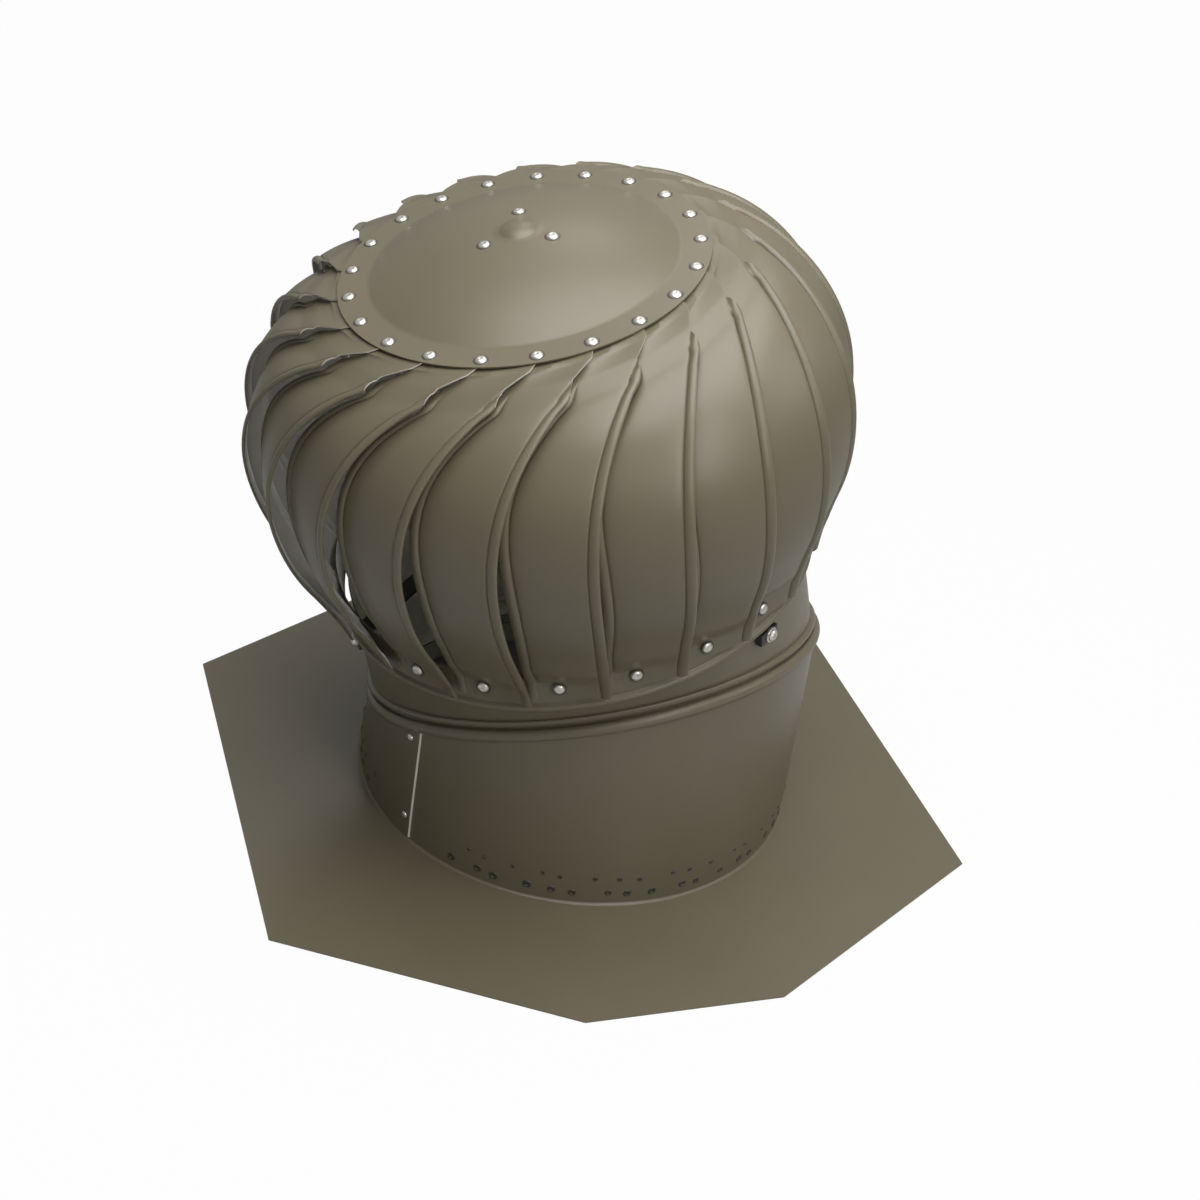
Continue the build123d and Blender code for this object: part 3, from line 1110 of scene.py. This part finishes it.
@dataclass(frozen=True)
class Plate:
    """Domed top plate with a flatter band over the vane tabs and a soft crown."""

    radius: float = 114.0
    band_radius: float = 95.0
    band_slope: float = 2.5
    dome_rise: float = 21.6
    dome_steps: int = 16
    rim_step: float = 0.5
    band_round: float = 1.5
    shoulder: float = 110.0
    seat: float = 306.5
    gap: float = 0.35
    sheet: float = 0.8
    crown_radius: float = 11.5
    crown_rise: float = 3.5
    crown_power: float = 2.4
    crown_shares: tuple[float, ...] = (1.0, 0.96, 0.88, 0.76, 0.6, 0.42, 0.22, 0.0)

    @property
    def thickness(self) -> float:
        """Upright thickness of the sheet."""
        return self.sheet * math.hypot(1.0, 2 * self.dome_rise / self.band_radius)

    def seat_height(self, radius: float) -> float:
        """Gives the height of the seat under the plate.

        Args:
            radius: Distance from the head's axis.

        Returns:
            The height above the pivot.
        """
        band = (self.shoulder - max(radius, self.band_radius)) * math.tan(math.radians(self.band_slope))
        dome = self.dome_rise * (1 - min(radius / self.band_radius, 1.0) ** 2)
        return self.seat + band + dome

    def slope(self, radius: float) -> float:
        """Gives how steeply the plate falls.

        Args:
            radius: Distance from the head's axis.

        Returns:
            The slope in degrees.
        """
        if radius > self.band_radius:
            return self.band_slope
        return math.degrees(math.atan(2 * self.dome_rise * radius / self.band_radius**2))

    def under_height(self, radius: float) -> float:
        """Gives the height of the plate's lower face above the pivot, with the crown."""
        flat = self.seat_height(max(radius, self.crown_radius)) + self.gap
        return flat + self.crown_rise * max(0.0, 1 - (radius / self.crown_radius) ** self.crown_power)

    def profile(self) -> Profile:
        """Gives the closed profile of the plate.

        Returns:
            Points from the middle out along the lower face and back along the upper one.
        """
        band = [self.radius, self.radius - self.rim_step, (self.radius + self.band_radius) / 2]
        edge = [self.band_radius + step * self.band_round for step in (1, 0, -1)]
        fall = self.band_radius - self.crown_radius
        dome = [self.band_radius - fall * step / self.dome_steps for step in range(1, self.dome_steps)]
        crown = [self.crown_radius * share for share in self.crown_shares]
        radii = band + edge + dome + crown
        under = [(radius, self.under_height(radius), Side.BARE) for radius in reversed(radii)]
        over = [(radius, self.under_height(radius) + self.thickness, Side.PAINTED) for radius in radii]
        under[-1] = (*under[-1][:2], Side.PAINTED)
        return under + over


@dataclass(frozen=True)
class Ring:
    """Band inside the vanes' lower tabs, with a rolled lower edge."""

    radius: float = 157.6
    bottom: float = 86.0
    top: float = 113.0
    sheet: float = 0.8
    roll: float = 2.3
    roll_step: float = 0.6
    roll_turn: float = 240.0
    roll_steps: int = 8

    def profile(self) -> Profile:
        """Gives the closed profile of the ring.

        Returns:
            Points up the inner face, down the outer one and round the rolled edge.
        """
        inner = self.radius - self.sheet
        middle = self.bottom + self.roll
        profile = [(inner, middle, Side.BARE), (inner, self.top, Side.PAINTED)]
        profile.append((self.radius, self.top, Side.PAINTED))
        profile.append((self.radius, middle + self.roll + self.roll_step, Side.PAINTED))
        for step in range(self.roll_steps + 1):
            angle = math.radians(90 - step * self.roll_turn / self.roll_steps)
            reach = self.radius + self.roll_step + self.roll * math.cos(angle)
            profile.append((reach, middle + self.roll * math.sin(angle), Side.PAINTED))
        return profile


@dataclass(frozen=True)
class Station:
    """One section across a vane, with the radius and height of its two edges."""

    left: Vector
    right: Vector
    normal: float
    azimuth: float
    span: float
    bow: float = 0.0
    sag: float = 0.0
    beads: float = 0.0
    left_bead: float = 0.0
    cut: float = 100.0


@dataclass
class Vane:
    """Twisted vane from the plate, over the bulge, to the ring, with angles counted from its top rivet."""

    plate: Plate
    ring: Ring
    bead: Bead = field(default_factory=Bead)
    sheet: float = 0.8
    radius: float = 195.6
    shoulder: float = 110.0
    bulge_height: float = 205.0
    bulge_rise: float = 101.5
    bulge_drop: float = 119.5
    upper_angle: float = 84.0
    lower_angle: float = -44.0
    tab_radius: float = 98.0
    tab_end: float = 115.0
    tab_rows: int = 5
    tab_lead: float = 7.0
    tab_span: float = 18.3
    tab_depth: float = 1.8
    edge_lead: float = 1.2
    edge_sweep: float = 32.0
    sweep_power: float = 3.8
    span_wave: float = 1.6
    louvre: float = 13.0
    swell_end: float = 0.8
    swell_power: float = 0.52
    bow: float = 3.0
    bow_shares: tuple[float, float] = (0.03, 0.28)
    lip_turns: tuple[tuple[float, float], ...] = (
        (0.0, -3.7), (0.062, -3.7), (0.118, -0.1), (0.133, 0.4), (0.165, 0.0)
    )
    lip_settled: float = 0.14
    left_start: float = 0.06
    fine_end: float = 0.168
    fine_rows: int = 28
    coarse_rows: int = 40
    ring_gap: float = 0.25
    bend_height: float = 108.0
    bottom: float = 95.5
    bottom_radius: float = 166.0
    knee_angle: float = -32.0
    foot_rows: int = 12
    foot_bend: float = 0.5
    foot_bow: float = 2.0
    foot_curl: float = 1.8
    plain_end: float = 0.118
    middle_columns: int = 9

    def outline(self, angle: float) -> tuple[Vector, float]:
        """Gives a point of the head's outline.

        Args:
            angle: Angle round the two quarter ellipses, in degrees.

        Returns:
            Radius and height as a vector, and the angle of the normal in degrees.
        """
        turn = math.radians(angle)
        reach = self.radius - self.shoulder
        stretch = self.bulge_rise if angle > 0 else self.bulge_drop
        normal = math.degrees(math.atan2(math.sin(turn) / stretch, math.cos(turn) / reach))
        point = Vector((self.shoulder + reach * math.cos(turn), self.bulge_height + stretch * math.sin(turn)))
        return self.below_knee(point.y) if angle < self.knee_angle else (point, normal)

    def below_knee(self, height: float) -> tuple[Vector, float]:
        """Gives a point of the outline below the bulge, where it runs in a soft curve to the bottom edge.

        Args:
            height: Height above the pivot.

        Returns:
            Radius and height as a vector, and the angle of the normal in degrees.
        """
        knee, normal = self.outline(self.knee_angle)
        lean = math.tan(math.radians(-normal))
        drop, whole = knee.y - height, knee.y - self.bottom
        curve = (self.bottom_radius - knee.x + lean * whole) / whole**2
        point = Vector((knee.x - lean * drop + curve * drop**2, height))
        return point, -math.degrees(math.atan(lean - 2 * curve * drop))

    def lip_turn(self, share: float) -> float:
        """Gives how far the vane's edge is turned from the lip's own line near the plate.

        Args:
            share: Share of the way from the plate to the lower bend.

        Returns:
            The turn in degrees: the plain edge above the lip is cut back.
        """
        for (start, before), (end, after) in zip(self.lip_turns, self.lip_turns[1:]):
            if share <= end:
                return before + (after - before) * (share - start) / (end - start)
        return 0.0

    def tab_stations(self) -> list[Station]:
        """Gives the sections of the flat tab under the plate.

        Returns:
            The sections from the tab's end to the plate's rim.
        """
        found = []
        for row in range(self.tab_rows):
            share = row / self.tab_rows
            radius = self.tab_radius + (self.tab_end - self.tab_radius) * share
            right = Vector((radius, self.plate.seat_height(radius)))
            left = right - Vector((0, self.tab_depth))
            azimuth = self.tab_lead + (self.edge_lead + self.lip_turn(0.0) - self.tab_lead) * share
            found.append(Station(left, right, 90.0, azimuth, self.tab_span))
        return found

    def bulge_station(self, share: float) -> Station:
        """Gives a section on the bulge.

        Args:
            share: Share of the way from the plate to the lower bend.

        Returns:
            The section.
        """
        right, normal = self.outline(self.upper_angle + (self.lower_angle - self.upper_angle) * share)
        swell = math.sin(math.pi * share * self.swell_end) ** self.swell_power
        depth = self.tab_depth + (self.louvre - self.tab_depth) * swell
        tilt = math.radians(normal)
        left = right - Vector((math.cos(tilt), math.sin(tilt))) * depth
        turn = self.lip_turn(share)
        azimuth = self.edge_lead - self.edge_sweep * (1 - (1 - share) ** self.sweep_power) + turn
        return Station(
            left,
            right,
            normal,
            azimuth,
            span=self.tab_span + self.span_wave * math.sin(math.tau * share),
            bow=self.bow * smooth(*self.bow_shares, share),
            beads=smooth(0.0, self.lip_settled, share),
            left_bead=smooth(self.left_start, 2 * self.left_start, share),
            cut=max(0.0, -math.radians(turn) * right.x),
        )

    def foot_stations(self) -> list[Station]:
        """Gives the sections from the bulge down to the bottom edge.

        Returns:
            The sections: their left part bends onto the ring, and their right part stands off.
        """
        start = self.bulge_station(1.0)
        face = self.ring.radius + self.ring_gap + self.sheet
        bend, low_left = Vector((face, self.bend_height)), Vector((face, self.bottom))
        found = []
        for row in range(1, self.foot_rows + 1):
            share = row / self.foot_rows
            right = self.below_knee(start.right.y + (self.bottom - start.right.y) * share)[0]
            if share < self.foot_bend:
                left = start.left.lerp(bend, share / self.foot_bend)
            else:
                left = bend.lerp(low_left, (share - self.foot_bend) / (1 - self.foot_bend))
            settled = smooth(0.0, self.foot_bend, share)
            found.append(
                Station(
                    left,
                    right,
                    start.normal * (1 - settled),
                    start.azimuth,
                    start.span,
                    bow=start.bow + (self.foot_bow - start.bow) * settled,
                    sag=(right.x - left.x) * settled,
                    beads=1.0,
                    left_bead=1.0,
                    cut=0.0,
                )
            )
        return found

    def stations(self) -> list[Station]:
        """Gives all sections of the vane.

        Returns:
            The sections from the top tab to the bottom edge.
        """
        finely = self.fine_end
        shares = [finely * row / self.fine_rows for row in range(self.fine_rows)]
        shares += [finely + (1 - finely) * row / self.coarse_rows for row in range(self.coarse_rows + 1)]
        return self.tab_stations() + [self.bulge_station(share) for share in shares] + self.foot_stations()

    def aways(self, width: float) -> list[float]:
        """Gives the distances of a section's points from its right edge.

        Args:
            width: Width of the section.

        Returns:
            The distances, closer together over the two beads.
        """
        steps = self.bead.steps()
        start, end = steps[-1], width - steps[-1]
        gap = (end - start) / (self.middle_columns + 1)
        middle = [start + gap * (column + 1) for column in range(self.middle_columns)]
        return steps + middle + [width - step for step in reversed(steps)]

    def row(self, station: Station, inset: float) -> list[Vector]:
        """Gives the points of one section, upright about the pivot.

        Args:
            station: The section.
            inset: How far the face is moved inwards.

        Returns:
            Points from the right edge to the left one.
        """
        tilt = math.radians(station.normal)
        right = polar(station.azimuth, station.right.x, station.right.y)
        left = polar(station.azimuth - station.span, station.left.x, station.left.y)
        width = (right - left).length
        points = []
        for away in self.aways(width):
            share = away / width
            point = right.lerp(left, share)
            relief = self.bead.height(away + station.cut) + self.bead.height(width - away) * station.left_bead
            relief += station.bow * 4 * share * (1 - share) - self.bead.rise * station.beads
            relief += station.sag * ((1 - share) ** self.foot_curl - (1 - share))
            outward = polar(station.azimuth - station.span * share, math.cos(tilt), math.sin(tilt))
            points.append(point + outward * (relief - inset))
        return points

    def side(self, row: int, column: int) -> Side:
        """Gives the finish of a face: the thin cut edge above the bead, column -1, shows bare metal."""
        plain_rows = self.tab_rows + self.fine_rows * self.plain_end / self.fine_end
        return Side.CUT if column < 0 and row < plain_rows else Side.PAINTED

    def faces(self) -> tuple[Grid, Grid]:
        """Outer and inner face of the vane, upright about the pivot."""
        stations = self.stations()
        return [self.row(each, 0.0) for each in stations], [self.row(each, self.sheet) for each in stations]


@dataclass
class Head:
    """Spinning head: plate, vanes, ring and rivets, upright about the pivot."""

    plate: Plate = field(default_factory=Plate)
    ring: Ring = field(default_factory=Ring)
    vane_count: int = 21
    first_vane: float = 110.8
    rivet_radius: float = 3.7
    rivet_rise: float = 1.7
    rivet_dimple: float = 0.3
    seat_radius: float = 4.7
    seat_rise: float = 0.12
    top_rivet_radius: float = 107.2
    low_rivet_height: float = 104.6
    low_rivet_turn: float = -41.8
    low_rivet_seat: float = 160.2
    hub_rivet_radius: float = 23.6
    hub_rivet_azimuth: float = 114.8
    hub_rivet_count: int = 3

    def azimuths(self) -> list[float]:
        """Azimuths of the vanes' top rivets, in degrees."""
        return [self.first_vane - FULL_TURN / self.vane_count * number for number in range(self.vane_count)]

    def plate_mark(self, radius: float, azimuth: float) -> Mark:
        """Gives a mark on the plate.

        Args:
            radius: Distance from the head's axis.
            azimuth: Angle in degrees.

        Returns:
            The mark, upright about the pivot.
        """
        tilt = math.radians(90 - self.plate.slope(radius))
        height = self.plate.under_height(radius) + self.plate.thickness
        return Mark(polar(azimuth, radius, height), polar(azimuth, math.cos(tilt), math.sin(tilt)))

    def rivet_marks(self) -> list[Mark]:
        """Gives the places of the rivets in the plate's rim, at its crown and in the ring.

        Returns:
            The marks, in the part's frame.
        """
        marks = [self.plate_mark(self.top_rivet_radius, azimuth) for azimuth in self.azimuths()]
        for number in range(self.hub_rivet_count):
            turn = FULL_TURN / self.hub_rivet_count * number
            marks.append(self.plate_mark(self.hub_rivet_radius, self.hub_rivet_azimuth + turn))
        for azimuth in self.azimuths():
            turn = azimuth + self.low_rivet_turn
            marks.append(Mark(polar(turn, self.low_rivet_seat, self.low_rivet_height), polar(turn, 1.0, 0.0)))
        place = SWIVEL.head_place()
        turned = place.to_3x3().normalized()
        return [Mark(place @ mark.place, turned @ mark.facing) for mark in marks]

    def build_vanes(self, shop: Workshop) -> None:
        """Adds the vanes, all turned copies of one.

        Args:
            shop: Workshop that fits pieces.
        """
        vane = Vane(self.plate, self.ring)
        outer, inner = vane.faces()
        for number, azimuth in enumerate(self.azimuths(), start=1):
            place = SWIVEL.head_place() @ Matrix.Rotation(math.radians(azimuth), 4, "Z")
            grids = [[[place @ point for point in row] for row in grid] for grid in (outer, inner)]
            name = f"vane_sheet_{number:02d}"
            mesh = MeshWorks.sheet(name, *grids, wraps=False, side_at=vane.side)
            shop.fit_sheet(name, mesh, Body.ROTOR, f"vane_{number:02d}")

    def build(self, shop: Workshop) -> None:
        """Adds the plate, the ring, the vanes and the rivets, and dresses the bearing.

        Args:
            shop: Workshop that fits pieces.
        """
        finishes = shop.finishes
        turned = (("plate_sheet", self.plate, "top_plate"), ("ring_sheet", self.ring, "bottom_ring"))
        for name, shape, solid in turned:
            mesh = MeshWorks.turned(name, shape.profile(), SWIVEL.head_place())
            shop.fit_sheet(name, mesh, Body.ROTOR, solid)
        self.build_vanes(shop)
        marks = self.rivet_marks()
        rivet = SmallPatterns.rivet(self.rivet_radius, self.rivet_rise, self.rivet_dimple)
        shop.fit_small("head_rivets", marks, rivet, Body.ROTOR, Slot.BRIGHT, finishes.rivet)
        # Dark discs under the rivet heads, in the near-black finish: painted shadow round each head.
        seat = SmallPatterns.seat(self.seat_radius, self.seat_rise)
        shop.fit_small("rivet_seats", marks, seat, Body.ROTOR, Slot.SHEET, finishes.pressed)
        shop.dress(["lower_bush", "upper_bush", "thrust_pad"], finishes.bush)
        shop.dress(["bearing_sleeve"], finishes.bright)


@dataclass(frozen=True)
class SoftLight:
    """One large studio light."""

    name: str
    place: tuple[float, float, float]
    size: tuple[float, float]
    power: float

    def build(self, target: Vector) -> None:
        """Adds the light, aimed at the target.

        Args:
            target: Point that it faces.
        """
        lamp = bpy.data.lights.new(self.name, "AREA")
        lamp.shape = "RECTANGLE"
        lamp.size, lamp.size_y = self.size
        lamp.energy = self.power
        holder = bpy.data.objects.new(self.name, lamp)
        holder.location = self.place
        holder.rotation_euler = (target - Vector(self.place)).to_track_quat("-Z", "Y").to_euler()
        bpy.context.scene.collection.objects.link(holder)


@dataclass
class Studio:
    """Pale floor, white background, soft lights and the camera of the photograph."""

    camera_place: tuple[float, float, float] = (-0.4336, -1.0619, 0.8766)
    camera_forward: tuple[float, float, float] = (0.3191, 0.7793, -0.5393)
    camera_roll: float = 9.15
    lens: float = 59.24
    sensor: float = 36.0
    floor_size: float = 30.0
    floor_drop: float = 0.2
    floor_tone: float = 0.4
    floor_roughness: float = 0.9
    floor_glow: float = 0.97
    floor_clear: float = 0.16
    world_light: float = 0.22
    world_gloss: float = 0.2
    lights: list[SoftLight] = field(default_factory=lambda: [
        SoftLight("overhead", (0.0, -0.2, 1.4), (1.2, 1.2), 25.0),
        SoftLight("back_light", (0.4, 1.9, 2.2), (0.7, 0.5), 5.0),
        SoftLight("key_light", (1.9, -0.9, 1.7), (1.2, 1.2), 12.0),
        SoftLight("front_strip", (0.4, -1.9, 1.3), (0.4, 1.6), 16.0),
        SoftLight("front_fill", (-0.7, -2.0, 1.2), (1.0, 1.0), 3.0),
    ])

    def build_world(self) -> None:
        """Makes the world white to the camera and softer as a light."""
        world = bpy.data.worlds.new("white_room")
        bpy.context.scene.world = world
        world.use_nodes = True
        pen = NodePen(world.node_tree)
        background = world.node_tree.nodes["Background"]
        pen.fill(background, {"Color": (1.0, 1.0, 1.0, 1.0)})
        path = pen.add("ShaderNodeLightPath")
        strength = pen.add("ShaderNodeMapRange", {"To Min": self.world_light, "To Max": 1.0})
        pen.join(path, "Is Camera Ray", strength, "Value")
        mirrored = pen.add("ShaderNodeMath", {1: self.world_gloss}, operation="MULTIPLY_ADD")
        pen.join(path, "Is Glossy Ray", mirrored, 0)
        pen.join(strength, "Result", mirrored, 2)
        pen.join(mirrored, "Value", background, "Strength")

    def build_floor(self) -> None:
        """Adds a pale floor that keeps the object's shadow and stays unlit inside the tube."""
        half, level = self.floor_size / 2, -self.floor_drop * MM
        corners = ((-half, -half), (half, -half), (half, half), (-half, half))
        mesh = bpy.data.meshes.new("floor")
        mesh.from_pydata([(*corner, level) for corner in corners], [], [(0, 1, 2, 3)])
        floor = bpy.data.objects.new("floor", mesh)
        bpy.context.scene.collection.objects.link(floor)
        material = bpy.data.materials.new("pale_floor")
        material.use_nodes = True
        pen = NodePen(material.node_tree)
        shader = material.node_tree.nodes["Principled BSDF"]
        pen.fill(shader, {"Base Color": (*[self.floor_tone] * 3, 1.0), "Roughness": self.floor_roughness})
        glow = pen.add("ShaderNodeEmission")
        path = pen.add("ShaderNodeLightPath")
        place = pen.add("ShaderNodeTexCoord")
        away = pen.add("ShaderNodeVectorMath", operation="LENGTH")
        pen.join(place, "Object", away, 0)
        outside = pen.add("ShaderNodeMath", {1: self.floor_clear}, operation="GREATER_THAN")
        pen.join(away, "Value", outside, 0)
        glowing = pen.add("ShaderNodeMath", operation="MULTIPLY")
        pen.join(path, "Is Camera Ray", glowing, 0)
        pen.join(outside, "Value", glowing, 1)
        share = pen.add("ShaderNodeMath", {1: self.floor_glow}, operation="MULTIPLY")
        pen.join(glowing, "Value", share, 0)
        blend = pen.add("ShaderNodeMixShader")
        pen.join(share, "Value", blend, "Fac")
        pen.join(shader, "BSDF", blend, 1)
        pen.join(glow, "Emission", blend, 2)
        output = material.node_tree.nodes["Material Output"]
        pen.join(blend, "Shader", output, "Surface")
        mesh.materials.append(material)

    def build_camera(self) -> None:
        """Adds the camera where the photograph was taken from."""
        data = bpy.data.cameras.new("photo_camera")
        data.lens = self.lens
        data.sensor_width = self.sensor
        camera = bpy.data.objects.new("photo_camera", data)
        forward = Vector(self.camera_forward).normalized()
        level = forward.cross(UP).normalized()
        upright = level.cross(forward)
        roll = math.radians(self.camera_roll)
        right = level * math.cos(roll) + upright * math.sin(roll)
        above = upright * math.cos(roll) - level * math.sin(roll)
        turn = Matrix((right, above, -forward)).transposed().to_4x4()
        camera.matrix_world = Matrix.Translation(self.camera_place) @ turn
        bpy.context.scene.collection.objects.link(camera)
        bpy.context.scene.camera = camera

    def build(self) -> None:
        """Builds the whole studio."""
        self.build_world()
        self.build_floor()
        self.build_camera()
        low, high = CAD_BOX
        for light in self.lights:
            light.build((low + high) / 2)
        bpy.context.scene.view_settings.view_transform = "Standard"


def main() -> None:
    """Builds the vent's pieces in order, then the studio."""
    logging.basicConfig(level=logging.INFO, format="%(name)s %(message)s")
    shop = Workshop()
    for part in (Flashing(), BaseTube(), Collar(), Head()):
        part.build(shop)
    Studio().build()


if __name__ == "__main__":
    main()
